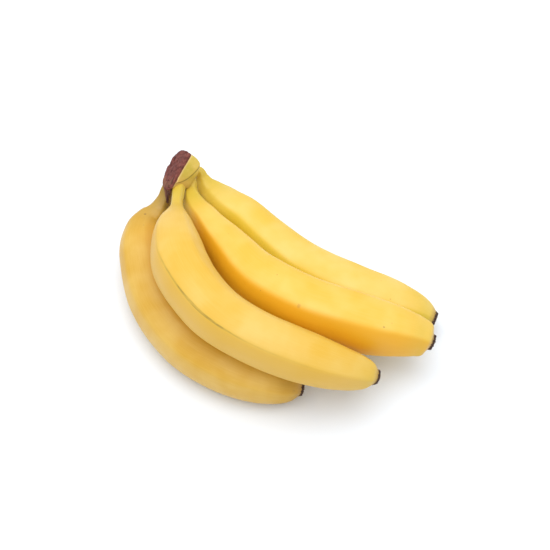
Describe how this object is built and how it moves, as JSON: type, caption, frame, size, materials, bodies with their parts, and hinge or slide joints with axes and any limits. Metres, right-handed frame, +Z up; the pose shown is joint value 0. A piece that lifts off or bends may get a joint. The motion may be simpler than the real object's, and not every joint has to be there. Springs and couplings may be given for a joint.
{
  "type": "bunch of bananas",
  "caption": "Small hand of ripe yellow bananas joined at one cut crown, lying on its side with the flower ends spread.",
  "frame": {"origin": "on the surface the hand lies on, under the centre of its bounding box", "axes": "+X from the crown towards the flower ends, +Z up"},
  "size_m": [0.193, 0.1582, 0.0738],
  "materials": {
    "peel": "waxy satin",
    "crown": "smooth green-yellow cushion with a rough dried brown cut"
  },
  "bodies": {
    "root": {"crown": "crown", "banana_outer": "peel", "banana_front": "peel", "banana_middle": "peel", "banana_back": "peel"}
  },
  "joints": []
}
